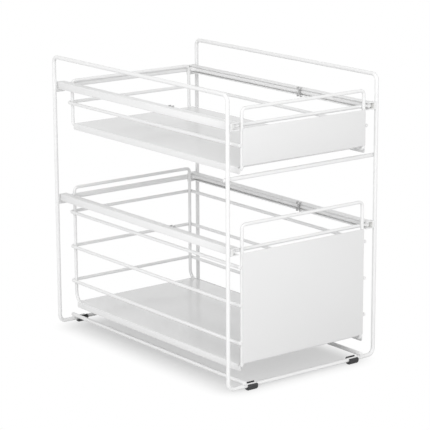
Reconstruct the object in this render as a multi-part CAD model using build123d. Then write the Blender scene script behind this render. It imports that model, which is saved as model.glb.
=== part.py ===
from build123d import *

import os
from dataclasses import dataclass

# Two-level pull-out wire organizer, in millimetres.
# The origin is on the floor, midway between the four posts. X runs to the right, Y to the back,
# Z up. An inset is measured inwards from a side's post centre-line, a depth backwards from the
# front posts' centre-line, and a rise upwards from the base wires' centre-line.

# Outer frame of bent wire
post_span_x = 272.0
post_span_y = 430.0
top_rail_rise = 420.0
frame_wire = 6.0
top_bend = 9.0
base_bend = 10.0
cross_wire_gap = 3.0
cross_wire_reach = 2.5
base_wire_inset = 27.0
base_wire_reach = 4.7
weld_sink = 0.2

# Rubber feet, clipped round the turned-in wire
foot_wall = 3.4
foot_drop = 0.8
foot_sole_cut = 0.4
foot_length = 16.8
foot_inset = 41.0
foot_mouth_rise = 2.4
foot_mouth_reach = 3.3
foot_lip_rise = 4.2
foot_fit = 0.1
foot_groove_width = 1.2
foot_groove_depth = 0.4
foot_groove_count = 4

# C-shaped rails, open towards the basket
rail_width = 13.0
rail_sheet = 1.2
rail_bend = 1.5
rail_post_gap = 2.0
rail_front_reach = 2.5
upper_rail_drop = 44.6

# Brackets that hold the rails on the posts
bracket_sheet = 1.2
bracket_reach = 1.5
bracket_height = 16.0
front_bracket_length = 8.0

# Plastic guide clips, hooked over a rail's open edge
clip_depth = 152.0
clip_body_width = 2.4
clip_bar_width = 9.0
clip_bar_height = 1.0
clip_bar_drop = 1.2
clip_prong_width = 1.8
clip_prong_height = 1.6
clip_face = 1.0
clip_grip = 3.0
clip_rod_gap = 0.5
clip_fit = 0.1

# Slide rods in the rails, and the liners that they run along
slide_rod = 8.0
slide_bend = 18.0
slide_gap = 0.3
slide_back_gap = 1.2
liner_sheet = 1.0
liner_length = 24.0

# Wire baskets
basket_wire = 5.0
upright_rail_gap = 4.1
handle_bend = 6.0
front_foot_bend = 5.0
front_foot_run = 40.0
back_top_bend = 6.0
back_foot_run = 60.0
upper_back_foot_bend = 6.0
lower_back_foot_bend = 17.0
upper_ring_drop = 27.5
lower_ring_drop = 23.5
ring_pitch = 55.3
upper_ring_names = ["ring_wire"]
lower_ring_names = ["top_ring_wire", "middle_ring_wire", "low_ring_wire"]
upper_handle_rise = 23.8
lower_handle_rise = 36.5
upper_back_rise = 6.3
lower_back_rise = 15.0
upper_tray_drop = 58.7
lower_tray_drop = 166.4

# Sheet trays and fronts
tray_sheet = 1.0
tray_wire_gap = 0.1
tray_front_gap = 0.3
tray_back_gap = 4.5
tray_flange = 9.5
tray_corner = 3.0
lower_tray_gap = 14.5
notch_gap = 0.5
panel_sheet = 1.2
panel_overlap = 1.0
panel_top_drop = 3.6
panel_tray_gap = 2.6

# Cuts run past the faces that they open
overrun = 1.0

# Sizes that follow from those above
post_radius = frame_wire / 2
wire_radius = basket_wire / 2
rod_radius = slide_rod / 2
frame_pitch = frame_wire - weld_sink
basket_pitch = basket_wire - weld_sink
foot_radius = post_radius + foot_wall
base_height = foot_drop + foot_radius - foot_sole_cut
rail_inner_height = slide_rod + 2 * slide_gap
rail_height = rail_inner_height + 2 * rail_sheet
rail_web_inset = post_radius + rail_post_gap
rail_edge_inset = rail_web_inset + rail_width
rod_inset = rail_web_inset + rail_sheet + liner_sheet + slide_gap + rod_radius
rod_back_depth = post_span_y - slide_back_gap - rod_radius
upright_inset = rail_edge_inset + upright_rail_gap + wire_radius
back_hoop_depth = rod_back_depth - rod_radius - wire_radius + weld_sink
upper_rail_rise = top_rail_rise - upper_rail_drop
lower_rail_rise = frame_pitch + post_radius + lower_tray_gap + tray_flange + lower_tray_drop
cross_wire_top = upper_rail_rise - upper_tray_drop - tray_flange - cross_wire_gap

# A basket stops when the bend of its slide rod meets the guide clip's plug
inner_bend = slide_bend - rod_radius
bend_run = (inner_bend**2 - (inner_bend - clip_rod_gap) ** 2) ** 0.5
bend_depth = rod_back_depth - slide_bend + bend_run
travel = bend_depth - clip_depth - clip_body_width / 2


@dataclass
class Basket:
    """One pull-out basket: its name and the heights that make it the upper or the lower one."""

    name: str
    rail_rise: float
    handle_rise: float
    back_rise: float
    back_foot_bend: float
    tray_drop: float
    ring_drop: float
    ring_names: list

    @property
    def tray_top(self):
        """Rise of the tray's upper face."""
        return self.rail_rise - self.tray_drop

    @property
    def foot_rise(self):
        """Rise of the centre-line of the wires that run under the tray."""
        return self.tray_top - tray_sheet - wire_radius


upper_basket = Basket(
    "upper_basket",
    upper_rail_rise,
    upper_handle_rise,
    upper_back_rise,
    upper_back_foot_bend,
    upper_tray_drop,
    upper_ring_drop,
    upper_ring_names,
)
lower_basket = Basket(
    "lower_basket",
    lower_rail_rise,
    lower_handle_rise,
    lower_back_rise,
    lower_back_foot_bend,
    lower_tray_drop,
    lower_ring_drop,
    lower_ring_names,
)

# The two sides of the organizer, as the sign of X
sides = {"left": -1, "right": 1}
rail_rises = {"upper": upper_rail_rise, "lower": lower_rail_rise}

pieces = {}


def place(side, inset, depth, rise):
    """Point in the organizer's frame from a side's sign, an inset, a depth and a rise."""
    return Vector(side * (post_span_x / 2 - inset), depth - post_span_y / 2, rise + base_height)


def bent_wire(points, bends, diameter, closed=False):
    """Round wire along straight runs joined by tangent bends."""
    path = FilletPolyline(*points, radius=bends, close=closed)
    section = Plane(origin=path @ 0, z_dir=path % 0) * Circle(diameter / 2)
    return sweep(section, path=path)


def straight_wire(start, end, diameter):
    """Round wire between two points."""
    path = Line(start, end)
    section = Plane(origin=path @ 0, z_dir=path % 0) * Circle(diameter / 2)
    return sweep(section, path=path)


def block(side, insets, depths, rises):
    """Box between two insets, two depths and two rises."""
    low = place(side, insets[0], depths[0], rises[0])
    high = place(side, insets[1], depths[1], rises[1])
    size = high - low
    return Pos(*((low + high) / 2)) * Box(abs(size.X), abs(size.Y), abs(size.Z))


def around(middle, size):
    """The two limits of a span from its middle and its size."""
    return (middle - size / 2, middle + size / 2)


# Outer frame

def side_hoop(side):
    """Both posts and the top rail in one wire, its ends turned in along the base."""
    points = [
        place(side, foot_inset, 0, 0),
        place(side, 0, 0, 0),
        place(side, 0, 0, top_rail_rise),
        place(side, 0, post_span_y, top_rail_rise),
        place(side, 0, post_span_y, 0),
        place(side, foot_inset, post_span_y, 0),
    ]
    return bent_wire(points, [base_bend, top_bend, top_bend, base_bend], frame_wire)


def base_cross_wire(depth):
    """Wire between the left and right hoops' turned-in ends."""
    return straight_wire(place(-1, foot_inset, depth, 0), place(1, foot_inset, depth, 0), frame_wire)


def base_side_wire(side):
    """Front-to-back wire welded on top of the base wires."""
    front = place(side, base_wire_inset, -base_wire_reach, frame_pitch)
    back = place(side, base_wire_inset, post_span_y + base_wire_reach, frame_pitch)
    return straight_wire(front, back, frame_wire)


def front_cross_wire():
    """Wire welded behind the front posts, between the two baskets."""
    rise = cross_wire_top - post_radius
    left = place(-1, -cross_wire_reach, frame_pitch, rise)
    right = place(1, -cross_wire_reach, frame_pitch, rise)
    return straight_wire(left, right, frame_wire)


def foot(side, depth, outward):
    """Ribbed rubber clip with a flat sole, whose mouth for the wire opens up and outwards."""
    axis = Plane(origin=place(side, foot_inset, depth, -foot_drop), z_dir=(1, 0, 0))
    body = axis * Cylinder(foot_radius, foot_length)
    groove_step = foot_length / (foot_groove_count + 1)
    groove = Cylinder(foot_radius + overrun, foot_groove_width)
    groove -= Cylinder(foot_radius - foot_groove_depth, foot_groove_width)
    for number in range(foot_groove_count):
        offset = (number + 1) * groove_step - foot_length / 2
        body -= axis * Pos(0, 0, offset) * groove
    bore = Plane(origin=place(side, foot_inset, depth, 0), z_dir=(1, 0, 0))
    body -= bore * Cylinder(post_radius + foot_fit, foot_length + 2 * overrun)
    insets = around(foot_inset, foot_length + 2 * overrun)
    whole_depth = around(depth, 2 * (foot_radius + overrun))
    open_depth = (depth + outward * (foot_radius + overrun), depth - outward * foot_mouth_reach)
    body -= block(side, insets, open_depth, (foot_mouth_rise, foot_radius + overrun))
    body -= block(side, insets, whole_depth, (foot_lip_rise, foot_radius + overrun))
    body -= block(side, insets, whole_depth, (-base_height - foot_radius, -base_height))
    return body


# Rails and what holds them

def rail(side, rise):
    """C-shaped rail, its web towards the posts and its open side towards the basket."""
    depths = (-rail_front_reach, post_span_y)
    outer = block(side, (rail_web_inset, rail_edge_inset), depths, around(rise, rail_height))
    web_edges = outer.edges().filter_by(Axis.Y).sort_by(Axis.X)
    web_edges = web_edges[:2] if side < 0 else web_edges[2:]
    outer = fillet(web_edges, rail_bend)
    insets = (rail_web_inset + rail_sheet, rail_edge_inset + overrun)
    depths = (-rail_front_reach - overrun, post_span_y + overrun)
    return outer - block(side, insets, depths, around(rise, rail_inner_height))


def back_bracket(side, rise):
    """Plate welded to the back post, that closes the rail's back end and hangs below it."""
    top = rise + rail_height / 2
    insets = (post_radius, rail_edge_inset + bracket_reach)
    rises = (top - bracket_height, top)
    return block(side, insets, (post_span_y, post_span_y + bracket_sheet), rises)


def front_bracket(side, rise):
    """Tab between the front post and the rail's web."""
    depths = (-rail_front_reach, front_bracket_length - rail_front_reach)
    return block(side, (post_radius, rail_web_inset), depths, around(rise, rail_height))


def guide_clip(side, rise):
    """Plastic clip: a plug in the rail's mouth, a face plate and two hooks over each flange."""
    plug_inset = rod_inset + rod_radius + clip_rod_gap
    face_inset = rail_edge_inset + clip_fit
    outer_inset = face_inset + clip_face
    edge_height = rail_height + 2 * clip_fit
    plate_height = edge_height - 2 * clip_bar_drop
    plug_height = rail_inner_height - 2 * clip_fit
    body_depths = around(clip_depth, clip_body_width)
    bar_depths = around(clip_depth, clip_bar_width)
    prong_insets = (rail_edge_inset - clip_grip, outer_inset)
    prong_offset = (clip_bar_width - clip_prong_width) / 2
    clip = block(side, (plug_inset, outer_inset), body_depths, around(rise, plug_height))
    clip += block(side, (face_inset, outer_inset), body_depths, around(rise, plate_height))
    for way in (-1, 1):
        bar_top = rise + way * plate_height / 2
        bar_rises = (bar_top - way * clip_bar_height, bar_top)
        edge = rise + way * edge_height / 2
        hook_rises = (edge, edge + way * clip_prong_height)
        clip += block(side, (face_inset, outer_inset), bar_depths, bar_rises)
        for middle in (clip_depth - prong_offset, clip_depth + prong_offset):
            prong_depths = around(middle, clip_prong_width)
            clip += block(side, (face_inset, outer_inset), prong_depths, (bar_top, edge))
            clip += block(side, prong_insets, prong_depths, hook_rises)
    return clip


def liner(side, rise):
    """Plastic strip against the rail's web, at the mouth where the slide rod runs in."""
    inset = rail_web_inset + rail_sheet
    depths = (-rail_front_reach, liner_length - rail_front_reach)
    return block(side, (inset, inset + liner_sheet), depths, around(rise, rail_inner_height))


# Baskets

def front_hoop(basket):
    """Handle and front uprights in one wire, its ends turned back under the tray."""
    top = basket.rail_rise + basket.handle_rise
    points = [
        place(-1, upright_inset, front_foot_run, basket.foot_rise),
        place(-1, upright_inset, 0, basket.foot_rise),
        place(-1, upright_inset, 0, top),
        place(1, upright_inset, 0, top),
        place(1, upright_inset, 0, basket.foot_rise),
        place(1, upright_inset, front_foot_run, basket.foot_rise),
    ]
    bends = [front_foot_bend, handle_bend, handle_bend, front_foot_bend]
    return bent_wire(points, bends, basket_wire)


def back_hoop(basket):
    """Top bar and back uprights in one wire, its ends turned forward under the tray."""
    top = basket.rail_rise + basket.back_rise
    foot_depth = back_hoop_depth - back_foot_run
    points = [
        place(-1, upright_inset, foot_depth, basket.foot_rise),
        place(-1, upright_inset, back_hoop_depth, basket.foot_rise),
        place(-1, upright_inset, back_hoop_depth, top),
        place(1, upright_inset, back_hoop_depth, top),
        place(1, upright_inset, back_hoop_depth, basket.foot_rise),
        place(1, upright_inset, foot_depth, basket.foot_rise),
    ]
    bends = [basket.back_foot_bend, back_top_bend, back_top_bend, basket.back_foot_bend]
    return bent_wire(points, bends, basket_wire)


def bottom_wire(basket, side):
    """Wire under the tray, between the front and the back hoops' ends."""
    front = place(side, upright_inset, front_foot_run, basket.foot_rise)
    back = place(side, upright_inset, back_hoop_depth - back_foot_run, basket.foot_rise)
    return straight_wire(front, back, basket_wire)


def slide_rod_loop(basket):
    """Thick wire round both sides and the back, whose sides run inside the rails."""
    points = [
        place(-1, rod_inset, basket_pitch - wire_radius, basket.rail_rise),
        place(-1, rod_inset, rod_back_depth, basket.rail_rise),
        place(1, rod_inset, rod_back_depth, basket.rail_rise),
        place(1, rod_inset, basket_pitch - wire_radius, basket.rail_rise),
    ]
    return bent_wire(points, slide_bend, slide_rod)


def front_rim_wire(basket):
    """Wire between the slide rod's ends, welded behind the front uprights."""
    inset = rod_inset + rod_radius - weld_sink
    left = place(-1, inset, basket_pitch, basket.rail_rise)
    right = place(1, inset, basket_pitch, basket.rail_rise)
    return straight_wire(left, right, basket_wire)


def ring_wire(basket, number):
    """Wire round both sides and the back, outside the uprights."""
    rise = basket.rail_rise - basket.ring_drop - number * ring_pitch
    inset = upright_inset - basket_pitch
    back = back_hoop_depth + basket_pitch
    points = [
        place(-1, inset, -wire_radius, rise),
        place(-1, inset, back, rise),
        place(1, inset, back, rise),
        place(1, inset, -wire_radius, rise),
    ]
    return bent_wire(points, basket_pitch, basket_wire)


def front_panel(basket):
    """Sheet across the front uprights, from just above the tray to just below the rim."""
    rises = (basket.tray_top + panel_tray_gap, basket.rail_rise - panel_top_drop)
    depth = -wire_radius - panel_sheet
    low = place(-1, upright_inset - panel_overlap, depth, rises[0])
    high = place(1, upright_inset - panel_overlap, -wire_radius, rises[1])
    return Pos(*((low + high) / 2)) * Box(*(high - low))


def tray(basket):
    """Sheet floor on the bottom wires, with flanges down its sides and notches at the bends."""
    inner_inset = upright_inset - wire_radius - tray_wire_gap
    outer_inset = inner_inset - tray_sheet
    front = wire_radius + tray_front_gap
    back = back_hoop_depth - wire_radius - tray_back_gap
    plate_rises = (basket.tray_top - tray_sheet, basket.tray_top)
    low = place(-1, outer_inset, front, plate_rises[0])
    high = place(1, outer_inset, back, plate_rises[1])
    sheet = Pos(*((low + high) / 2)) * Box(*(high - low))
    for side in sides.values():
        flange_rises = (basket.tray_top - tray_flange, basket.tray_top)
        notch_insets = (inner_inset, upright_inset + wire_radius + notch_gap)
        notch_rises = (basket.tray_top - tray_sheet - overrun, basket.tray_top + overrun)
        front_notch = (front - overrun, front_foot_bend + notch_gap)
        notch_start = back_hoop_depth - basket.back_foot_bend - notch_gap
        flange = block(side, (outer_inset, inner_inset), (0, back), flange_rises)
        lower_corners = flange.edges().filter_by(Axis.X).sort_by(Axis.Z)[:2]
        sheet += fillet(lower_corners, tray_corner)
        sheet -= block(side, notch_insets, front_notch, notch_rises)
        if notch_start < back:
            sheet -= block(side, notch_insets, (notch_start, back + overrun), notch_rises)
    return sheet


def add_frame():
    """The outer frame, its feet, its rails and what is fixed to them."""
    pieces["front_base_wire"] = base_cross_wire(0)
    pieces["back_base_wire"] = base_cross_wire(post_span_y)
    pieces["front_cross_wire"] = front_cross_wire()
    for name, side in sides.items():
        pieces[f"{name}_side_hoop"] = side_hoop(side)
        pieces[f"{name}_base_wire"] = base_side_wire(side)
        pieces[f"front_{name}_foot"] = foot(side, 0, -1)
        pieces[f"back_{name}_foot"] = foot(side, post_span_y, 1)
        for level, rise in rail_rises.items():
            pieces[f"{level}_{name}_rail"] = rail(side, rise)
            pieces[f"{level}_{name}_back_bracket"] = back_bracket(side, rise)
            pieces[f"{level}_{name}_front_bracket"] = front_bracket(side, rise)
            pieces[f"{level}_{name}_guide_clip"] = guide_clip(side, rise)
            pieces[f"{level}_{name}_liner"] = liner(side, rise)


def add_basket(basket):
    """One basket with its wires and sheets."""
    pieces[f"{basket.name}_front_hoop"] = front_hoop(basket)
    pieces[f"{basket.name}_back_hoop"] = back_hoop(basket)
    pieces[f"{basket.name}_slide_rod"] = slide_rod_loop(basket)
    pieces[f"{basket.name}_front_rim_wire"] = front_rim_wire(basket)
    pieces[f"{basket.name}_front_panel"] = front_panel(basket)
    pieces[f"{basket.name}_tray"] = tray(basket)
    for number, ring_name in enumerate(basket.ring_names):
        pieces[f"{basket.name}_{ring_name}"] = ring_wire(basket, number)
    for name, side in sides.items():
        pieces[f"{basket.name}_{name}_bottom_wire"] = bottom_wire(basket, side)


add_frame()
add_basket(upper_basket)
add_basket(lower_basket)

os.makedirs("parts", exist_ok=True)
for node, solid in pieces.items():
    export_step(solid, f"parts/{node}.step")

print(f"{len(pieces)} pieces, each basket slides out {travel:.1f} mm")
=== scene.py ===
import logging
import math
from dataclasses import dataclass, field
from enum import Enum

import bmesh
import bpy
from mathutils import Matrix, Vector


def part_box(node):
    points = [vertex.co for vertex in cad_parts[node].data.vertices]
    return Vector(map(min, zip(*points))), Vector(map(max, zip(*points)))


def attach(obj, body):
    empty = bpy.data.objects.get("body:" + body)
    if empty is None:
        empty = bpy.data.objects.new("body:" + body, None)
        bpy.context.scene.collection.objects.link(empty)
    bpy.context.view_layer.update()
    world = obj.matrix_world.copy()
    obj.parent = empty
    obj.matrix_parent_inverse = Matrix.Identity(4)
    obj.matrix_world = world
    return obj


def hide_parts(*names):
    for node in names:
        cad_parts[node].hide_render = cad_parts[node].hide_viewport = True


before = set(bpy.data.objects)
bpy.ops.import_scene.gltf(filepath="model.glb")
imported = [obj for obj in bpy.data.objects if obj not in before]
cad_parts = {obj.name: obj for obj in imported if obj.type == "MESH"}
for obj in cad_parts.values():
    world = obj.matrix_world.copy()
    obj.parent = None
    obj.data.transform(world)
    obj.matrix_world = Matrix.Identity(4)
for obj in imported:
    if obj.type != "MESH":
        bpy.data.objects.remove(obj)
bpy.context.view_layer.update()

MM = 0.001
MERGE_DISTANCE = 1e-6
FLAT_ANGLE = math.radians(1)
EDGE_ANGLE = math.radians(40)

# The numbers of the Mix node's colour output and the Random Value node's number output.
COLOUR_RESULT = 2
NUMBER_RESULT = 1

log = logging.getLogger("organizer")


class Body(Enum):
    """The parts that move as one."""

    FRAME = "frame"
    UPPER = "upper_basket"
    LOWER = "lower_basket"


class Slot(Enum):
    """The record's material slots, which name the new pieces' finishes."""

    WIRE = "white_wire"
    SHEET = "white_sheet"
    RUBBER = "black_rubber"
    PLASTIC = "grey_plastic"


class Side(Enum):
    """The two sides of the organizer, as the sign of X."""

    LEFT = -1
    RIGHT = 1

    @property
    def word(self) -> str:
        """The side's name as the nodes spell it."""
        return self.name.lower()

    def ends(self, low: Vector, high: Vector) -> tuple[float, float]:
        """A box's outer and inner X on this side."""
        return (low.x, high.x) if self is Side.LEFT else (high.x, low.x)


class Axis(Enum):
    """The direction that a section is drawn out along, with the two that it lies in."""

    X = (0, 1, 2)
    Y = (1, 0, 2)


# Node trees


class Term:
    """A node's socket that can be used in sums, so that an expression adds its Math nodes."""

    def __init__(self, graph: "Graph", socket: bpy.types.NodeSocket) -> None:
        """Wraps one output.

        Args:
            graph: The tree that the socket belongs to.
            socket: The output to wrap.
        """
        self.graph = graph
        self.socket = socket

    def _with(self, operation: str, first: object, second: object) -> "Term":
        """A Math node of two values.

        Args:
            operation: The Math node's operation.
            first: A term or a number.
            second: A term or a number.

        Returns:
            The node's value.
        """
        return self.graph.add("ShaderNodeMath", {"operation": operation}, {0: first, 1: second})

    def __add__(self, other: object) -> "Term":
        """This plus other."""
        return self._with("ADD", self, other)

    def __radd__(self, other: object) -> "Term":
        """Other plus this."""
        return self._with("ADD", other, self)

    def __mul__(self, other: object) -> "Term":
        """This times other."""
        return self._with("MULTIPLY", self, other)

    def __rmul__(self, other: object) -> "Term":
        """Other times this."""
        return self._with("MULTIPLY", other, self)


class Graph:
    """A node tree with one way of adding nodes."""

    def __init__(self, tree: bpy.types.NodeTree) -> None:
        """Works on a tree.

        Args:
            tree: A shader or geometry tree.
        """
        self.tree = tree

    @classmethod
    def of(cls, owner: bpy.types.Material | bpy.types.World) -> "Graph":
        """The emptied node tree of a material or the world.

        Args:
            owner: What the tree belongs to.

        Returns:
            The tree, ready for its nodes.
        """
        owner.use_nodes = True
        owner.node_tree.nodes.clear()
        return cls(owner.node_tree)

    def add(self, kind: str, settings: dict | None = None, inputs: dict | None = None,
            output: int | str = 0) -> Term:
        """Adds a node.

        Args:
            kind: The node's type.
            settings: Its own settings, such as a Math node's operation.
            inputs: Values or terms for its sockets, by name or number.
            output: The output that the result stands for, by name or number.

        Returns:
            The chosen output.
        """
        node = self.tree.nodes.new(kind)
        for name, value in (settings or {}).items():
            setattr(node, name, value)
        for key, value in (inputs or {}).items():
            if isinstance(value, Term):
                self.tree.links.new(value.socket, node.inputs[key])
            else:
                node.inputs[key].default_value = value
        return Term(self, node.outputs[output] if len(node.outputs) else None)


class GeometryTree(Graph):
    """A Geometry Nodes tree with named inputs, which makes plain meshes."""

    def __init__(self, name: str, inputs: dict[str, str]) -> None:
        """Makes an empty tree.

        Args:
            name: The tree's name.
            inputs: Each input's name and kind of socket, between the geometry and the finish.
        """
        super().__init__(bpy.data.node_groups.new(name, "GeometryNodeTree"))
        face = self.tree.interface
        face.new_socket(name="Geometry", in_out="OUTPUT", socket_type="NodeSocketGeometry")
        face.new_socket(name="Geometry", in_out="INPUT", socket_type="NodeSocketGeometry")
        for label, kind in {**inputs, "Finish": "NodeSocketMaterial"}.items():
            face.new_socket(name=label, in_out="INPUT", socket_type=kind)
        self.source = self.tree.nodes.new("NodeGroupInput")

    def given(self, name: str) -> Term:
        """One of the tree's named inputs."""
        return Term(self, self.source.outputs[name])

    def attribute(self, name: str) -> Term:
        """A number kept on the points of the incoming mesh."""
        return self.add("GeometryNodeInputNamedAttribute", {"data_type": "FLOAT"}, {"Name": name})

    def finish(self, shape: Term) -> None:
        """Ends the tree with real, smooth, painted geometry.

        Args:
            shape: The geometry to hand out.
        """
        real = self.add("GeometryNodeRealizeInstances", {}, {"Geometry": shape})
        smooth = self.add("GeometryNodeSetShadeSmooth", {}, {"Geometry": real})
        painted = self.add(
            "GeometryNodeSetMaterial", {}, {"Geometry": smooth, "Material": self.given("Finish")}
        )
        out = self.tree.nodes.new("NodeGroupOutput")
        self.tree.links.new(painted.socket, out.inputs[0])

    def realise(self, source: bpy.types.Object, values: dict, name: str) -> bpy.types.Object:
        """Runs the tree on an object and keeps only the mesh that it makes.

        Args:
            source: The object that carries the tree's geometry, which is removed.
            values: The tree's inputs by name.
            name: The new object's name.

        Returns:
            A plain mesh object.
        """
        modifier = source.modifiers.new("build", "NODES")
        modifier.node_group = self.tree
        for item in self.tree.interface.items_tree:
            if item.in_out == "INPUT" and item.name in values:
                modifier[item.identifier] = values[item.name]
        return baked(source, name)


def baked(source: bpy.types.Object, name: str) -> bpy.types.Object:
    """Turns an object and its modifiers into a plain mesh object.

    Args:
        source: The object, which is removed.
        name: The new object's name.

    Returns:
        The new object, at the origin.
    """
    bpy.context.view_layer.update()
    graph = bpy.context.evaluated_depsgraph_get()
    mesh = bpy.data.meshes.new_from_object(source.evaluated_get(graph), depsgraph=graph)
    bpy.data.objects.remove(source)
    mesh.name = name
    return linked(name, mesh)


def linked(name: str, mesh: bpy.types.Mesh) -> bpy.types.Object:
    """Puts a mesh into the scene as an object.

    Args:
        name: The object's name.
        mesh: The mesh that it shows.

    Returns:
        The new object, at the origin.
    """
    result = bpy.data.objects.new(name, mesh)
    bpy.context.scene.collection.objects.link(result)
    return result


# Finishes


@dataclass(frozen=True)
class Finish:
    """A surface: its tone, its gloss and the fine grain that breaks both up.

    Wide clouds and fine specks of noise make the drift. Sizes are in metres.
    """

    name: str
    tone: tuple[float, float, float]
    tone_drift: float
    roughness: float
    roughness_drift: float
    grain: float
    grain_depth: float
    drift_size: float = 0.06
    cloud_detail: float = 3.0
    speck_detail: float = 2.0
    cloud_share: float = 0.7
    relief: float = 0.6

    def material(self) -> bpy.types.Material:
        """Builds the node material.

        Returns:
            The material, with colour, roughness and bump that change over the surface.
        """
        material = bpy.data.materials.new(self.name)
        graph = Graph.of(material)
        place = graph.add("ShaderNodeTexCoord", {}, {}, "Object")
        cloud = self._noise(graph, place, 1 / self.drift_size, self.cloud_detail)
        speck = self._noise(graph, place, 1 / self.grain, self.speck_detail)
        darker = tuple(part * (1 - self.tone_drift) for part in self.tone)
        share = cloud * self.cloud_share + speck * (1 - self.cloud_share)
        tone = graph.add(
            "ShaderNodeMix",
            {"data_type": "RGBA"},
            {"Factor": share, "A": (*self.tone, 1.0), "B": (*darker, 1.0)},
            COLOUR_RESULT,
        )
        gloss = cloud * self.roughness_drift + speck * self.roughness_drift
        gloss = gloss + (self.roughness - self.roughness_drift)
        bump = graph.add(
            "ShaderNodeBump",
            {},
            {"Strength": self.relief, "Distance": self.grain_depth, "Height": speck},
        )
        surface = {"Base Color": tone, "Roughness": gloss, "Normal": bump}
        shader = graph.add("ShaderNodeBsdfPrincipled", {}, surface)
        graph.add("ShaderNodeOutputMaterial", {}, {"Surface": shader})
        return material

    @staticmethod
    def _noise(graph: Graph, place: Term, scale: float, detail: float) -> Term:
        """A noise pattern, from 0 to 1."""
        return graph.add(
            "ShaderNodeTexNoise", {}, {"Vector": place, "Scale": scale, "Detail": detail}
        )


class Paints:
    """Every finish of the organizer, made once."""

    def __init__(self) -> None:
        """Makes the materials."""
        self.wire = Finish(
            "white_wire_coat", tone=(0.83, 0.83, 0.83), tone_drift=0.02, roughness=0.34,
            roughness_drift=0.05, grain=0.0011, grain_depth=0.00003,
        ).material()
        self.sheet = Finish(
            "white_sheet_coat", tone=(0.83, 0.83, 0.83), tone_drift=0.02, roughness=0.32,
            roughness_drift=0.05, grain=0.0013, grain_depth=0.00003,
        ).material()
        # The front panels take the sheet's white paint made darker: painted shade on the faces
        # turned to the front.
        self.front = Finish(
            "white_front_coat", tone=(0.77, 0.77, 0.77), tone_drift=0.02, roughness=0.36,
            roughness_drift=0.05, grain=0.0013, grain_depth=0.00003,
        ).material()
        self.tray = Finish(
            "white_tray_coat", tone=(0.8, 0.8, 0.8), tone_drift=0.02, roughness=0.16,
            roughness_drift=0.03, grain=0.0013, grain_depth=0.00002,
        ).material()
        self.nylon = Finish(
            "milky_liner_nylon", tone=(0.76, 0.76, 0.74), tone_drift=0.04, roughness=0.48,
            roughness_drift=0.06, grain=0.0009, grain_depth=0.00003, drift_size=0.01,
        ).material()
        self.rubber = Finish(
            "black_foot_rubber", tone=(0.035, 0.036, 0.038), tone_drift=0.3, roughness=0.62,
            roughness_drift=0.08, grain=0.0008, grain_depth=0.00005, drift_size=0.012,
        ).material()
        self.plastic = Finish(
            "grey_clip_plastic", tone=(0.5, 0.5, 0.5), tone_drift=0.12, roughness=0.4,
            roughness_drift=0.06, grain=0.0009, grain_depth=0.00003, drift_size=0.01,
        ).material()


# Shapes


def arc_points(corner: Vector, before: Vector, after: Vector, radius: float,
               steps: int) -> list[Vector]:
    """Points of the round that replaces one corner of an outline.

    Args:
        corner: The sharp corner.
        before: The point before it.
        after: The point after it.
        radius: The round's radius.
        steps: How many runs the round has.

    Returns:
        The round's points in order.
    """
    to_before = (before - corner).normalized()
    to_after = (after - corner).normalized()
    half = to_before.angle(to_after) / 2
    reach = radius / math.tan(half)
    middle = corner + (to_before + to_after).normalized() * (radius / math.sin(half))
    start = corner + to_before * reach - middle
    end = corner + to_after * reach - middle
    sweep = math.pi - 2 * half
    points = []
    for step in range(steps + 1):
        turn = sweep * step / steps
        share = math.sin(sweep - turn) * start + math.sin(turn) * end
        points.append(middle + share / math.sin(sweep))
    return points


def rounded(corners: list[tuple[float, float, float]], steps: int = 5) -> list[Vector]:
    """A closed outline with its corners rounded.

    Args:
        corners: Each corner's two coordinates and its radius.
        steps: How many runs each round has.

    Returns:
        The outline's points.
    """
    places = [Vector(corner[:2]) for corner in corners]
    outline = []
    for number, corner in enumerate(corners):
        after = places[(number + 1) % len(places)]
        outline += arc_points(places[number], places[number - 1], after, corner[2], steps)
    return outline


@dataclass
class Prism:
    """A section drawn out along X or Y, with its end edges softened."""

    outline: list[Vector]
    axis: Axis
    span: tuple[float, float]
    softness: float

    def add_to(self, shape: bmesh.types.BMesh) -> None:
        """Adds the solid to a mesh.

        Args:
            shape: The mesh that it goes into.
        """
        along, across, up = self.axis.value
        rings = []
        for place in self.span:
            ring = []
            for point in self.outline:
                spot = [0.0, 0.0, 0.0]
                spot[along], spot[across], spot[up] = place, point.x, point.y
                ring.append(shape.verts.new(spot))
            rings.append(ring)
        caps = [shape.faces.new(rings[0]), shape.faces.new(rings[1])]
        count = len(self.outline)
        walls = []
        for number in range(count):
            after = (number + 1) % count
            corners = (rings[0][number], rings[0][after], rings[1][after], rings[1][number])
            walls.append(shape.faces.new(corners))
        bmesh.ops.recalc_face_normals(shape, faces=caps + walls)
        edges = [edge for cap in caps for edge in cap.edges]
        bmesh.ops.bevel(
            shape, geom=edges, offset=self.softness, segments=2, profile=0.5, affect="EDGES"
        )


def mesh_of(name: str, shape: bmesh.types.BMesh, finish: bpy.types.Material,
            sharp: float = 35.0) -> bpy.types.Object:
    """Turns a finished shape into an object.

    Args:
        name: The object's name.
        shape: The shape, which is used up.
        finish: Its material.
        sharp: The angle in degrees above which an edge stays sharp.

    Returns:
        The new object.
    """
    mesh = bpy.data.meshes.new(name)
    shape.to_mesh(mesh)
    shape.free()
    mesh.polygons.foreach_set("use_smooth", [True] * len(mesh.polygons))
    mesh.set_sharp_from_angle(angle=math.radians(sharp))
    mesh.materials.append(finish)
    return linked(name, mesh)


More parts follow.
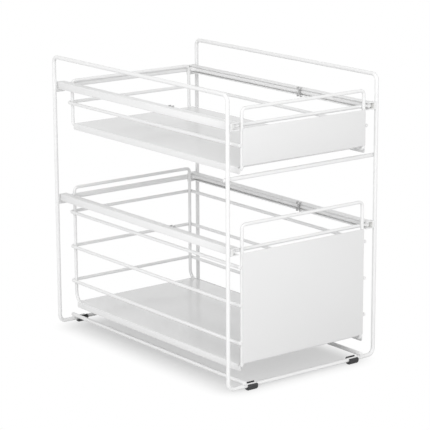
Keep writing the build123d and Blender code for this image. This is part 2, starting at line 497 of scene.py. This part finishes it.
def softened_copy(node: str, width: float) -> bmesh.types.BMesh:
    """A copy of a CAD node with its sharp edges rounded.

    Args:
        node: The node's name.
        width: How far each round reaches along the faces.

    Returns:
        The new shape.
    """
    shape = bmesh.new()
    shape.from_mesh(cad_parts[node].data)
    bmesh.ops.remove_doubles(shape, verts=shape.verts, dist=MERGE_DISTANCE)
    bmesh.ops.dissolve_limit(shape, angle_limit=FLAT_ANGLE, verts=shape.verts, edges=shape.edges)
    edges = [edge for edge in shape.edges if edge.calc_face_angle(0) > EDGE_ANGLE]
    bmesh.ops.bevel(
        shape, geom=edges, offset=width, segments=3, profile=0.5, affect="EDGES", clamp_overlap=True
    )
    return shape


def plate(node: str, corner: float, edge: float) -> bmesh.types.BMesh:
    """An upright plate that fills a CAD node's box, with rounded corners.

    Args:
        node: The node's name.
        corner: The corners' radius.
        edge: How far the edges of its faces are softened.

    Returns:
        The new shape.
    """
    low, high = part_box(node)
    spots = ((low.x, low.z), (high.x, low.z), (high.x, high.z), (low.x, high.z))
    outline = rounded([(*spot, corner) for spot in spots])
    shape = bmesh.new()
    Prism(outline, Axis.Y, (low.y, high.y), edge).add_to(shape)
    return shape


class WireMaker:
    """Round wires along bent paths, with rounded cut ends."""

    end_length = 0.0011
    end_girths = ((0.0, 0.72), (0.35, 0.92), (1.0, 1.0))

    def __init__(self, finish: bpy.types.Material) -> None:
        """Builds the tree.

        Args:
            finish: The wires' material.
        """
        self.finish = finish
        tree = GeometryTree(
            "bent_wire",
            {
                "Wire Radius": "NodeSocketFloat",
                "Round Steps": "NodeSocketInt",
                "Bend Steps": "NodeSocketInt",
            },
        )
        path = tree.add("GeometryNodeMeshToCurve", {}, {"Mesh": tree.given("Geometry")})
        path = tree.add(
            "GeometryNodeFilletCurve",
            {"mode": "POLY"},
            {
                "Curve": path,
                "Count": tree.given("Bend Steps"),
                "Radius": tree.attribute("bend"),
                "Limit Radius": True,
            },
        )
        circle = {"Resolution": tree.given("Round Steps"), "Radius": tree.given("Wire Radius")}
        section = tree.add("GeometryNodeCurvePrimitiveCircle", {}, circle)
        girth = tree.attribute("girth")
        wire = {"Curve": path, "Profile Curve": section, "Scale": girth, "Fill Caps": True}
        tree.finish(tree.add("GeometryNodeCurveToMesh", {}, wire))
        self.tree = tree

    def make(self, name: str, corners: list[Vector], bends: list[float], radius: float,
             cut_ends: bool = True) -> bpy.types.Object:
        """Makes one wire.

        Args:
            name: The piece's name.
            corners: The path's corners, ends included.
            bends: The centre-line's bend radius at each inner corner.
            radius: The wire's radius.
            cut_ends: Whether the ends are rounded, as where they show.

        Returns:
            The wire as a plain mesh object.
        """
        points = [(corner, bend, 1.0) for corner, bend in zip(corners, [0.0, *bends, 0.0])]
        if cut_ends:
            first = self._end(corners[0], corners[1])
            last = self._end(corners[-1], corners[-2])
            points = first + points[1:-1] + last[::-1]
        mesh = bpy.data.meshes.new(name)
        edges = [(number, number + 1) for number in range(len(points) - 1)]
        mesh.from_pydata([point[0] for point in points], edges, [])
        for label, column in (("bend", 1), ("girth", 2)):
            values = mesh.attributes.new(label, "FLOAT", "POINT")
            values.data.foreach_set("value", [point[column] for point in points])
        values = {"Wire Radius": radius, "Round Steps": 24, "Bend Steps": 8, "Finish": self.finish}
        return self.tree.realise(linked(name + "_path", mesh), values, name)

    def _end(self, tip: Vector, inward: Vector) -> list[tuple[Vector, float, float]]:
        """The points of a rounded end, from the tip inwards."""
        along = (inward - tip).normalized() * self.end_length
        return [(tip + along * share, 0.0, girth) for share, girth in self.end_girths]


class WeldMaker:
    """Small beads of weld, one at each given point."""

    def __init__(self, finish: bpy.types.Material) -> None:
        """Builds the tree.

        Args:
            finish: The beads' material.
        """
        self.finish = finish
        tree = GeometryTree(
            "weld_beads",
            {
                "Least Swell": "NodeSocketFloat",
                "Most Swell": "NodeSocketFloat",
                "Seed": "NodeSocketInt",
            },
        )
        points = tree.add("GeometryNodeMeshToPoints", {}, {"Mesh": tree.given("Geometry")})
        bead = tree.add("GeometryNodeMeshIcoSphere", {}, {"Radius": 1.0, "Subdivisions": 3})
        swell = tree.add(
            "FunctionNodeRandomValue",
            {"data_type": "FLOAT"},
            {
                "Min": tree.given("Least Swell"),
                "Max": tree.given("Most Swell"),
                "Seed": tree.given("Seed"),
            },
            NUMBER_RESULT,
        )
        size = swell * tree.attribute("size")
        beads = tree.add(
            "GeometryNodeInstanceOnPoints", {}, {"Points": points, "Instance": bead, "Scale": size}
        )
        tree.finish(beads)
        self.tree = tree

    def make(self, name: str, spots: list[tuple[Vector, float]]) -> bpy.types.Object:
        """Makes all the beads of one body.

        Args:
            name: The piece's name.
            spots: Each bead's middle and radius.

        Returns:
            The beads as one plain mesh object.
        """
        mesh = bpy.data.meshes.new(name)
        mesh.from_pydata([spot[0] for spot in spots], [], [])
        sizes = mesh.attributes.new("size", "FLOAT", "POINT")
        sizes.data.foreach_set("value", [spot[1] for spot in spots])
        values = {"Least Swell": 0.92, "Most Swell": 1.08, "Seed": 4, "Finish": self.finish}
        return self.tree.realise(linked(name + "_spots", mesh), values, name)


class RibMaker:
    """Rounded ribs along an outline, repeated at a pitch along X."""

    def __init__(self, finish: bpy.types.Material) -> None:
        """Builds the tree.

        Args:
            finish: The ribs' material.
        """
        self.finish = finish
        tree = GeometryTree(
            "foot_ribs",
            {
                "Rib Count": "NodeSocketInt",
                "Rib Pitch": "NodeSocketVector",
                "Rib Half Height": "NodeSocketFloat",
                "Rib Width Share": "NodeSocketVector",
            },
        )
        path = tree.add("GeometryNodeMeshToCurve", {}, {"Mesh": tree.given("Geometry")})
        circle = {"Resolution": 12, "Radius": tree.given("Rib Half Height")}
        section = tree.add("GeometryNodeCurvePrimitiveCircle", {}, circle)
        oval = {"Geometry": section, "Scale": tree.given("Rib Width Share")}
        section = tree.add("GeometryNodeTransform", {}, oval)
        swept = {"Curve": path, "Profile Curve": section, "Fill Caps": True}
        rib = tree.add("GeometryNodeCurveToMesh", {}, swept)
        spacing = {"Count": tree.given("Rib Count"), "Offset": tree.given("Rib Pitch")}
        row = tree.add("GeometryNodeMeshLine", {"mode": "OFFSET"}, spacing)
        ribs = tree.add("GeometryNodeInstanceOnPoints", {}, {"Points": row, "Instance": rib})
        tree.finish(ribs)
        self.tree = tree

    def make(self, name: str, path: list[Vector], count: int, pitch: float, half_height: float,
             width_share: float) -> bpy.types.Object:
        """Makes one row of ribs.

        Args:
            name: The piece's name.
            path: The first rib's line.
            count: How many ribs there are.
            pitch: The distance from rib to rib.
            half_height: Half a rib's height.
            width_share: A rib's width over its height.

        Returns:
            The ribs as a plain mesh object.
        """
        mesh = bpy.data.meshes.new(name)
        mesh.from_pydata(path, [(number, number + 1) for number in range(len(path) - 1)], [])
        values = {
            "Rib Count": count,
            "Rib Pitch": (pitch, 0.0, 0.0),
            "Rib Half Height": half_height,
            "Rib Width Share": (width_share, 1.0, 1.0),
            "Finish": self.finish,
        }
        return self.tree.realise(linked(name + "_line", mesh), values, name)


# Handing pieces over


def hand_over(piece: bpy.types.Object, body: Body, slot: Slot, *nodes: str) -> None:
    """Puts a piece on its body, in place of the CAD nodes that it stands for.

    Args:
        piece: The finished piece.
        body: The body that it rides on.
        slot: The material slot that it would take its finish from; not used.
        nodes: The CAD nodes that it replaces.
    """
    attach(piece, body.value)
    if nodes:
        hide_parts(*nodes)
    log.info("%s: %d faces on %s", piece.name, len(piece.data.polygons), body.value)


def paint(node: str, finish: bpy.types.Material) -> None:
    """Gives a CAD node that stays in sight its finish.

    Args:
        node: The node's name.
        finish: The material for all its faces.
    """
    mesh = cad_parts[node].data
    mesh.materials.clear()
    mesh.materials.append(finish)
    log.info("%s: CAD node, %s", node, finish.name)


def middle(node: str) -> Vector:
    """The middle of a CAD node's box."""
    low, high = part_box(node)
    return (low + high) / 2


def straight(node: str, axis: int) -> tuple[list[Vector], float]:
    """The centre-line and radius of a straight wire.

    Args:
        node: The CAD wire.
        axis: The number of the axis that it runs along.

    Returns:
        Its two ends and its radius.
    """
    low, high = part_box(node)
    start, end = middle(node), middle(node)
    start[axis], end[axis] = low[axis], high[axis]
    return [start, end], (high - low)[(axis + 1) % 3] / 2


# Sub-assemblies


@dataclass
class OuterFrame:
    """The standing frame: two side hoops, base wires, the cross wire and the four feet."""

    paints: Paints
    wires: WireMaker
    welds: WeldMaker
    ribs: RibMaker
    wire_radius: float = 3.0 * MM
    base_bend: float = 10.0 * MM
    top_bend: float = 9.0 * MM
    weld_size: float = 2.4 * MM
    foot_bore: float = 3.1 * MM
    foot_groove: float = 0.4 * MM
    foot_sole_cut: float = 0.4 * MM
    foot_mouth_rise: float = 2.4 * MM
    foot_mouth_reach: float = 3.3 * MM
    foot_end_gap: float = 0.2 * MM
    foot_edge_round: float = 0.25 * MM
    rib_count: int = 5
    rib_share: float = 0.8
    rib_sink: float = 1.05
    spots: list[tuple[Vector, float]] = field(default_factory=list)

    def build(self) -> None:
        """Builds and dresses every piece of the frame."""
        for side in Side:
            self._side_hoop(side)
            self._base_side_wire(side)
        self._across("front_base_wire", cut_ends=False)
        self._across("back_base_wire", cut_ends=False)
        self._across("front_cross_wire", cut_ends=True)
        for end in ("front", "back"):
            for side in Side:
                self._foot(end, side)
        beads = self.welds.make("frame_weld_beads", self.spots)
        hand_over(beads, Body.FRAME, Slot.WIRE)

    def _side_hoop(self, side: Side) -> None:
        """Builds one side's hoop.

        Args:
            side: Which side it is on.
        """
        node = f"{side.word}_side_hoop"
        low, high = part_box(node)
        radius = self.wire_radius
        outer, inner = side.ends(low, high)
        outer -= side.value * radius
        front, back = low.y + radius, high.y - radius
        base, top = low.z + radius, high.z - radius
        corners = [
            Vector((inner, front, base)),
            Vector((outer, front, base)),
            Vector((outer, front, top)),
            Vector((outer, back, top)),
            Vector((outer, back, base)),
            Vector((inner, back, base)),
        ]
        bends = [self.base_bend, self.top_bend, self.top_bend, self.base_bend]
        piece = self.wires.make(f"{node}_wire", corners, bends, radius, False)
        hand_over(piece, Body.FRAME, Slot.WIRE, node)

    def _base_side_wire(self, side: Side) -> None:
        """Builds one side's front-to-back base wire and notes its welds.

        Args:
            side: Which side it is on.
        """
        node = f"{side.word}_base_wire"
        ends, radius = straight(node, 1)
        hand_over(self.wires.make(f"{node}_round", ends, [], radius), Body.FRAME, Slot.WIRE, node)
        for cross in ("front_base_wire", "back_base_wire"):
            spot = middle(cross)
            spot.x = ends[0].x
            spot.z = (spot.z + ends[0].z) / 2
            self.spots.append((spot, self.weld_size))

    def _across(self, node: str, cut_ends: bool) -> None:
        """Builds a wire that runs from side to side.

        Args:
            node: The CAD wire.
            cut_ends: Whether its ends show.
        """
        ends, radius = straight(node, 0)
        piece = self.wires.make(f"{node}_round", ends, [], radius, cut_ends)
        hand_over(piece, Body.FRAME, Slot.WIRE, node)
        if not cut_ends:
            return
        for side in Side:
            low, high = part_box(f"{side.word}_side_hoop")
            spot = Vector(ends[0])
            spot.x = side.ends(low, high)[0] - side.value * radius
            spot.y = (low.y + radius + ends[0].y) / 2
            self.spots.append((spot, self.weld_size))

    def _foot(self, end: str, side: Side) -> None:
        """Builds a ribbed rubber clip round the base wire.

        Args:
            end: "front" or "back".
            side: Which side it is on.
        """
        node = f"{end}_{side.word}_foot"
        low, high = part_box(node)
        shape = FootShape(
            wire=middle(f"{end}_base_wire"),
            outward=-1 if end == "front" else 1,
            radius=(high.y - low.y) / 2,
            sole=low.z,
            top=high.z,
            sole_cut=self.foot_sole_cut,
            mouth_rise=self.foot_mouth_rise,
            mouth_reach=self.foot_mouth_reach,
            bore=self.foot_bore,
        )
        section = shape.section(self.foot_groove)
        body = bmesh.new()
        span = (low.x + self.foot_end_gap, high.x - self.foot_end_gap)
        Prism(section, Axis.X, span, self.foot_edge_round).add_to(body)
        pitch = (high.x - low.x) / self.rib_count
        place = low.x + pitch / 2
        inset = self.foot_groove * self.rib_sink
        line = [Vector((place, *point)) for point in shape.outside(inset)]
        width = pitch * self.rib_share / (2 * self.foot_groove)
        ribs = self.ribs.make(f"{node}_ribs", line, self.rib_count, pitch, self.foot_groove, width)
        body.from_mesh(ribs.data)
        bpy.data.objects.remove(ribs)
        piece = mesh_of(f"{node}_rubber", body, self.paints.rubber)
        hand_over(piece, Body.FRAME, Slot.RUBBER, node)


@dataclass(frozen=True)
class FootShape:
    """The section of a rubber foot, whose mouth for the wire opens up and outwards.

    The outward sign is that of Y on the side where the mouth opens.
    """

    wire: Vector
    outward: int
    radius: float
    sole: float
    top: float
    sole_cut: float
    mouth_rise: float
    mouth_reach: float
    bore: float

    def outside(self, inset: float) -> list[Vector]:
        """The outside, from the inner lip round the sole to the outer wall.

        Args:
            inset: How far the line lies inside the foot's outline.

        Returns:
            Pairs of Y and Z.
        """
        radius = self.radius - inset
        centre = self.sole + self.radius - self.sole_cut
        lip = math.pi - math.asin((self.top - inset - centre) / radius)
        wall = self.wire.z + self.mouth_rise - inset - centre
        end = 2 * math.pi + math.asin(wall / radius)
        steps = 40
        points = []
        for step in range(steps + 1):
            turn = lip + (end - lip) * step / steps
            rise = max(centre + radius * math.sin(turn), self.sole + inset)
            points.append(Vector((self._side(radius * math.cos(turn)), rise)))
        return points

    def section(self, inset: float) -> list[Vector]:
        """The closed section: the outside, and back round the bore to the inner lip.

        Args:
            inset: How far the outside lies inside the foot's outline.

        Returns:
            Pairs of Y and Z.
        """
        wall = self.wire.z + self.mouth_rise - inset
        start = math.asin((self.mouth_rise - inset) / self.bore)
        steps = 24
        inner = []
        for step in range(steps + 1):
            turn = start - (math.pi + 2 * start) * step / steps
            spot = Vector((self._side(math.cos(turn) * self.bore), math.sin(turn) * self.bore))
            inner.append(spot + Vector((0.0, self.wire.z)))
        lip = self._side(-self.mouth_reach)
        inner += [Vector((lip, wall)), Vector((lip, self.top - inset))]
        return self.outside(inset) + inner

    def _side(self, outwards: float) -> float:
        """The Y of a point from its distance outwards from the wire's middle."""
        return self.wire.y + self.outward * outwards


@dataclass
class Rails:
    """The four C-shaped rails with their brackets, guide clips and liners."""

    paints: Paints
    sheet: float = 1.2 * MM
    outer_bend: float = 1.5 * MM
    inner_bend: float = 0.4 * MM
    edge_round: float = 0.3 * MM
    end_round: float = 0.18 * MM
    bracket_round: float = 1.6 * MM
    clip_round: float = 0.25 * MM

    def build(self) -> None:
        """Builds and dresses the rails and everything fixed to them."""
        for level in ("upper", "lower"):
            for side in Side:
                name = f"{level}_{side.word}"
                self._rail(f"{name}_rail", side)
                self._back_bracket(f"{name}_back_bracket")
                self._soft(f"{name}_front_bracket", self.edge_round, Slot.SHEET)
                self._soft(f"{name}_guide_clip", self.clip_round, Slot.PLASTIC)
                paint(f"{name}_liner", self.paints.nylon)

    def _rail(self, node: str, side: Side) -> None:
        """Builds one rail from its folded section.

        Args:
            node: The CAD rail.
            side: Which side it is on; its web faces outwards.
        """
        low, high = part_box(node)
        web, mouth = side.ends(low, high)
        inner = web - side.value * self.sheet
        floor, roof = low.z + self.sheet, high.z - self.sheet
        outline = rounded(
            [
                (web, low.z, self.outer_bend),
                (mouth, low.z, self.edge_round),
                (mouth, floor, self.edge_round),
                (inner, floor, self.inner_bend),
                (inner, roof, self.inner_bend),
                (mouth, roof, self.edge_round),
                (mouth, high.z, self.edge_round),
                (web, high.z, self.outer_bend),
            ]
        )
        shape = bmesh.new()
        Prism(outline, Axis.Y, (low.y, high.y), self.end_round).add_to(shape)
        hand_over(mesh_of(f"{node}_folded", shape, self.paints.sheet), Body.FRAME, Slot.SHEET, node)

    def _back_bracket(self, node: str) -> None:
        """Builds a plate with rounded corners.

        Args:
            node: The CAD bracket.
        """
        shape = plate(node, self.bracket_round, self.edge_round)
        hand_over(mesh_of(f"{node}_plate", shape, self.paints.sheet), Body.FRAME, Slot.SHEET, node)

    def _soft(self, node: str, width: float, slot: Slot) -> None:
        """Builds a piece as its CAD node with rounded edges.

        Args:
            node: The CAD node.
            width: How far the rounds reach.
            slot: The slot of its finish.
        """
        finish = self.paints.sheet if slot is Slot.SHEET else self.paints.plastic
        piece = mesh_of(f"{node}_rounded", softened_copy(node, width), finish)
        hand_over(piece, Body.FRAME, slot, node)


@dataclass
class Basket:
    """One pull-out basket: its hoops, rod, ring wires, tray and front."""

    body: Body
    rings: list[str]
    paints: Paints
    wires: WireMaker
    welds: WeldMaker
    back_foot_bend: float
    back_notch: float
    handle_bend: float = 6.0 * MM
    front_foot_bend: float = 5.0 * MM
    back_top_bend: float = 6.0 * MM
    rod_bend: float = 18.0 * MM
    ring_bend: float = 4.8 * MM
    weld_size: float = 2.0 * MM
    weld_offset: float = 0.7
    sheet: float = 1.0 * MM
    fold: float = 1.4 * MM
    plate_front: float = 2.8 * MM
    notch_inner: float = 6.6 * MM
    front_notch: float = 5.5 * MM
    tray_corner: float = 3.0 * MM
    tray_edge: float = 0.15 * MM
    tray_edge_angle: float = 50.0
    curve_steps: int = 4
    panel_round: float = 0.8 * MM
    panel_edge: float = 0.4 * MM
    spots: list[tuple[Vector, float]] = field(default_factory=list)

    def node(self, name: str) -> str:
        """The full name of one of the basket's nodes."""
        return f"{self.body.value}_{name}"

    def build(self) -> None:
        """Builds and dresses every piece of the basket."""
        self._hoop("front_hoop", [self.front_foot_bend, self.handle_bend], front=True)
        self._hoop("back_hoop", [self.back_foot_bend, self.back_top_bend], front=False)
        self._loop("slide_rod", self.rod_bend)
        for ring in self.rings:
            self._loop(ring, self.ring_bend)
        self._straight("front_rim_wire", 0)
        for side in Side:
            self._straight(f"{side.word}_bottom_wire", 1)
        self._note_welds()
        beads = self.welds.make(f"{self.body.value}_weld_beads", self.spots)
        hand_over(beads, self.body, Slot.WIRE)
        self._tray()
        self._panel()

    def _hoop(self, name: str, bends: list[float], front: bool) -> None:
        """Builds an upright hoop with its ends turned in under the tray.

        Args:
            name: The CAD node's short name.
            bends: The bend radius at the foot and at the top.
            front: Whether the ends turn to the back.
        """
        node = self.node(name)
        low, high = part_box(node)
        radius = self._radius()
        plane = low.y + radius if front else high.y - radius
        end = high.y if front else low.y
        left, right = low.x + radius, high.x - radius
        base, top = low.z + radius, high.z - radius
        corners = [
            Vector((left, end, base)),
            Vector((left, plane, base)),
            Vector((left, plane, top)),
            Vector((right, plane, top)),
            Vector((right, plane, base)),
            Vector((right, end, base)),
        ]
        piece = self.wires.make(f"{node}_wire", corners, [*bends, *bends[::-1]], radius, False)
        hand_over(piece, self.body, Slot.WIRE, node)

    def _loop(self, name: str, bend: float) -> None:
        """Builds a level wire round both sides and the back.

        Args:
            name: The CAD node's short name.
            bend: The bend radius at both back corners.
        """
        node = self.node(name)
        low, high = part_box(node)
        radius = (high.z - low.z) / 2
        rise = (low.z + high.z) / 2
        left, right, back = low.x + radius, high.x - radius, high.y - radius
        corners = [
            Vector((left, low.y, rise)),
            Vector((left, back, rise)),
            Vector((right, back, rise)),
            Vector((right, low.y, rise)),
        ]
        piece = self.wires.make(f"{node}_bent", corners, [bend, bend], radius)
        hand_over(piece, self.body, Slot.WIRE, node)

    def _straight(self, name: str, axis: int) -> None:
        """Builds a straight wire whose ends are welded.

        Args:
            name: The CAD node's short name.
            axis: The number of the axis that it runs along.
        """
        node = self.node(name)
        ends, radius = straight(node, axis)
        piece = self.wires.make(f"{node}_round", ends, [], radius, False)
        hand_over(piece, self.body, Slot.WIRE, node)

    def _radius(self) -> float:
        """The radius of the basket's thinner wires."""
        low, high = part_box(self.node("front_rim_wire"))
        return (high.z - low.z) / 2

    def _note_welds(self) -> None:
        """Notes a bead wherever a level wire crosses an upright."""
        radius = self._radius()
        front_low, front_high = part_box(self.node("front_hoop"))
        front, back = front_low.y + radius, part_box(self.node("back_hoop"))[1].y - radius
        slant = self.weld_offset * radius
        for side in Side:
            upright = side.ends(front_low, front_high)[0] - side.value * radius
            outer = upright + side.value * radius
            for ring in self.rings:
                rise = middle(self.node(ring)).z
                self.spots.append((Vector((outer, front, rise)), self.weld_size))
                corner = Vector((upright + side.value * slant, back + slant, rise))
                self.spots.append((corner, self.weld_size))
            rise = middle(self.node("slide_rod")).z
            self.spots.append((Vector((upright, front + radius, rise)), self.weld_size))
            self.spots.append((Vector((upright, back + radius, rise)), self.weld_size))

    def _tray(self) -> None:
        """Builds the folded sheet floor, with its notches at the uprights."""
        node = self.node("tray")
        low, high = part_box(node)
        columns = self._tray_columns(low, high)
        front = low.y + self.plate_front
        notches = {low.y + self.front_notch, high.y - self.back_notch}
        turns = [math.pi * step / (2 * self.curve_steps) for step in range(self.curve_steps + 1)]
        runs = [self.tray_corner * (1 - math.cos(turn)) for turn in turns]
        ends = {low.y + run for run in runs} | {high.y - run for run in runs}
        rows = sorted({front} | notches | ends)
        shape = bmesh.new()
        grid = [[shape.verts.new((x, y, z)) for x, z in columns] for y in rows]
        for y, row in zip(rows, grid):
            lift = self._corner_lift(min(y - low.y, high.y - y))
            row[0].co.z += lift
            row[-1].co.z += lift
        for row in range(len(rows) - 1):
            for column in range(len(columns) - 1):
                face = (
                    grid[row][column],
                    grid[row][column + 1],
                    grid[row + 1][column + 1],
                    grid[row + 1][column],
                )
                if self._in_tray(face, low, high, front):
                    shape.faces.new(face)
        loose = [vert for vert in shape.verts if not vert.link_faces]
        bmesh.ops.delete(shape, geom=loose, context="VERTS")
        source = mesh_of(f"{node}_flat", shape, self.paints.tray)
        wall = source.modifiers.new("wall", "SOLIDIFY")
        wall.thickness, wall.offset = self.sheet, -1.0
        wall.use_even_offset = True
        soft = source.modifiers.new("soft", "BEVEL")
        soft.width, soft.segments, soft.limit_method = self.tray_edge, 2, "ANGLE"
        soft.angle_limit = math.radians(self.tray_edge_angle)
        piece = baked(source, f"{node}_folded")
        hand_over(piece, self.body, Slot.SHEET, node)

    def _tray_columns(self, low: Vector, high: Vector) -> list[tuple[float, float]]:
        """The tray's section from the left flange over the floor to the right flange.

        Args:
            low: The tray's lowest corner.
            high: The tray's highest corner.

        Returns:
            Pairs of X and Z along the outer side of the sheet.
        """
        half = (high.x - low.x) / 2
        arc = []
        for step in range(self.curve_steps + 1):
            turn = math.pi / 2 * step / self.curve_steps
            run = half - self.fold + self.fold * math.sin(turn)
            arc.append((run, high.z - self.fold + self.fold * math.cos(turn)))
        right = [(half - self.notch_inner, high.z), *arc, (half, low.z)]
        left = [(-run, rise) for run, rise in reversed(right)]
        return left + [(0.0, high.z)] + right

    def _corner_lift(self, inside: float) -> float:
        """How far a rounded lower corner raises a flange's edge.

        Args:
            inside: The distance from the flange's end.

        Returns:
            The rise above the flange's lowest edge.
        """
        short = max(self.tray_corner - inside, 0.0)
        return self.tray_corner - math.sqrt(max(self.tray_corner**2 - short**2, 0.0))

    def _in_tray(self, face: tuple, low: Vector, high: Vector, front: float) -> bool:
        """Whether a patch of the section's grid is sheet, and not a notch or the open front.

        Args:
            face: The patch's four vertices.
            low: The tray's lowest corner.
            high: The tray's highest corner.
            front: The Y at which the tray's floor begins.

        Returns:
            True where the patch is sheet.
        """
        spot = sum((vert.co for vert in face), Vector()) / 4
        half = (high.x - low.x) / 2
        flange = spot.z < high.z - self.fold
        if spot.y < front:
            return flange
        at_notch = spot.y < low.y + self.front_notch or spot.y > high.y - self.back_notch
        return flange or not (at_notch and abs(spot.x) > half - self.notch_inner)

    def _panel(self) -> None:
        """Builds the sheet front."""
        node = self.node("front_panel")
        shape = plate(node, self.panel_round, self.panel_edge)
        piece = mesh_of(f"{node}_sheet", shape, self.paints.front)
        hand_over(piece, self.body, Slot.SHEET, node)


# Studio


@dataclass(frozen=True)
class Lamp:
    """A soft square lamp that faces the organizer."""

    name: str
    place: tuple[float, float, float]
    width: float
    power: float

    def light(self, target: Vector) -> None:
        """Adds the lamp to the scene.

        Args:
            target: The point that it faces.
        """
        data = bpy.data.lights.new(self.name, "AREA")
        data.shape, data.size, data.energy = "SQUARE", self.width, self.power
        lamp = bpy.data.objects.new(self.name, data)
        facing = (target - Vector(self.place)).to_track_quat("-Z", "Y").to_matrix().to_4x4()
        lamp.matrix_world = Matrix.Translation(self.place) @ facing
        bpy.context.scene.collection.objects.link(lamp)


@dataclass(frozen=True)
class Studio:
    """The floor, the white surroundings, the lamps and the camera."""

    place: tuple[float, float, float] = (-1.7331, -2.2668, 0.8929)
    turn: float = 0.65467
    tilt: float = 0.23865
    roll: float = -0.00466
    lens: float = 163.2
    sensor: float = 36.0
    ambient: float = 0.66
    # The painted shadow on the floor: the middle and reach of the box round the footprint where the
    # floor stays grey.
    shade_middle: tuple[float, float, float] = (-0.005, -0.002, 0.0)
    shade_reach: tuple[float, float, float] = (0.1, 0.187, 0.0)
    least_fade: float = 0.5
    fade_width: float = 0.056
    floor_size: float = 6.0
    # The camera sees the floor darker than bounced light does, which paints a shadow round the
    # organizer.
    floor_seen: float = 0.55
    floor_unseen: float = 0.75
    lamp_target: tuple[float, float, float] = (0.0, 0.0, 0.2)
    lamps: tuple[Lamp, ...] = (
        Lamp("front", (-0.6, -2.6, 1.3), 2.2, 30.0),
        Lamp("left", (-2.6, -0.6, 1.3), 2.2, 30.0),
    )

    def build(self) -> None:
        """Sets up everything round the organizer."""
        self._floor()
        self._surroundings()
        for lamp in self.lamps:
            lamp.light(Vector(self.lamp_target))
        self._camera()
        bpy.context.scene.view_settings.view_transform = "Standard"

    def _floor(self) -> None:
        """Adds a pale floor with the organizer's cast shadow and a painted grey shadow round its
        footprint, fading to white.
        """
        shape = bmesh.new()
        bmesh.ops.create_grid(shape, x_segments=2, y_segments=2, size=self.floor_size)
        material = bpy.data.materials.new("pale_floor")
        graph = Graph.of(material)
        seen = self._seen(graph)
        # The darker tone for the camera and the fade from the footprint box paint a grey shadow
        # under the organizer.
        tones = [(grey, grey, grey, 1.0) for grey in (self.floor_unseen, self.floor_seen)]
        tone = graph.add(
            "ShaderNodeMix",
            {"data_type": "RGBA"},
            {"Factor": seen, "A": tones[0], "B": tones[1]},
            COLOUR_RESULT,
        )
        near = graph.add("ShaderNodeBsdfDiffuse", {}, {"Color": tone})
        far = graph.add("ShaderNodeEmission", {}, {"Strength": 1.0})
        away = graph.add("ShaderNodeTexCoord", {}, {}, "Object")
        for operation, other in (
            ("SUBTRACT", {1: self.shade_middle}),
            ("ABSOLUTE", {}),
            ("SUBTRACT", {1: self.shade_reach}),
            ("MAXIMUM", {1: (0.0, 0.0, 0.0)}),
        ):
            away = graph.add("ShaderNodeVectorMath", {"operation": operation}, {0: away, **other})
        away = graph.add("ShaderNodeVectorMath", {"operation": "LENGTH"}, {0: away}, "Value")
        fade = graph.add(
            "ShaderNodeMapRange",
            {"interpolation_type": "SMOOTHSTEP"},
            {"Value": away, "From Max": self.fade_width, "To Min": self.least_fade},
        )
        both = graph.add("ShaderNodeMixShader", {}, {0: fade * seen, 1: near, 2: far})
        graph.add("ShaderNodeOutputMaterial", {}, {"Surface": both})
        floor = mesh_of("floor", shape, material)

    def _surroundings(self) -> None:
        """Makes the world white where it is seen and softly grey where it lights."""
        world = bpy.data.worlds.new("surroundings")
        graph = Graph.of(world)
        strength = self._seen(graph) * (1.0 - self.ambient) + self.ambient
        sky = graph.add(
            "ShaderNodeBackground", {}, {"Color": (1.0, 1.0, 1.0, 1.0), "Strength": strength}
        )
        graph.add("ShaderNodeOutputWorld", {}, {"Surface": sky})
        bpy.context.scene.world = world

    @staticmethod
    def _seen(graph: Graph) -> Term:
        """One where the camera looks at it, straight or in a reflection, and else zero.

        Args:
            graph: The tree of the material or the world.

        Returns:
            The mask.
        """
        rays = [
            graph.add("ShaderNodeLightPath", {}, {}, name)
            for name in ("Is Camera Ray", "Is Glossy Ray", "Is Transmission Ray")
        ]
        total = rays[0] + rays[1] + rays[2]
        return graph.add("ShaderNodeMath", {"operation": "MINIMUM"}, {0: total, 1: 1.0})

    def _camera(self) -> None:
        """Adds the camera at the photograph's viewing angle."""
        flat = math.cos(self.tilt)
        ahead = Vector(
            (math.sin(self.turn) * flat, math.cos(self.turn) * flat, -math.sin(self.tilt))
        )
        right = Vector((math.cos(self.turn), -math.sin(self.turn), 0.0))
        up = right.cross(ahead)
        level = Matrix((right, up, -ahead)).transposed()
        data = bpy.data.cameras.new("viewpoint")
        data.sensor_fit, data.sensor_width, data.lens = "HORIZONTAL", self.sensor, self.lens
        camera = bpy.data.objects.new("viewpoint", data)
        turned = level @ Matrix.Rotation(self.roll, 3, "Z")
        camera.matrix_world = Matrix.Translation(self.place) @ turned.to_4x4()
        bpy.context.scene.collection.objects.link(camera)
        bpy.context.scene.camera = camera


def main() -> None:
    """Builds the organizer's looks and the studio."""
    logging.basicConfig(level=logging.INFO, format="%(name)s %(message)s")
    paints = Paints()
    wires, welds, ribs = WireMaker(paints.wire), WeldMaker(paints.wire), RibMaker(paints.rubber)
    low_rings = ["top_ring_wire", "middle_ring_wire", "low_ring_wire"]
    upper = Basket(
        Body.UPPER, ["ring_wire"], paints, wires, welds, back_foot_bend=6 * MM, back_notch=0.0
    )
    lower = Basket(
        Body.LOWER, low_rings, paints, wires, welds, back_foot_bend=17 * MM, back_notch=10.5 * MM
    )
    for part in (OuterFrame(paints, wires, welds, ribs), Rails(paints), upper, lower):
        part.build()
    Studio().build()


if __name__ == "__main__":
    main()
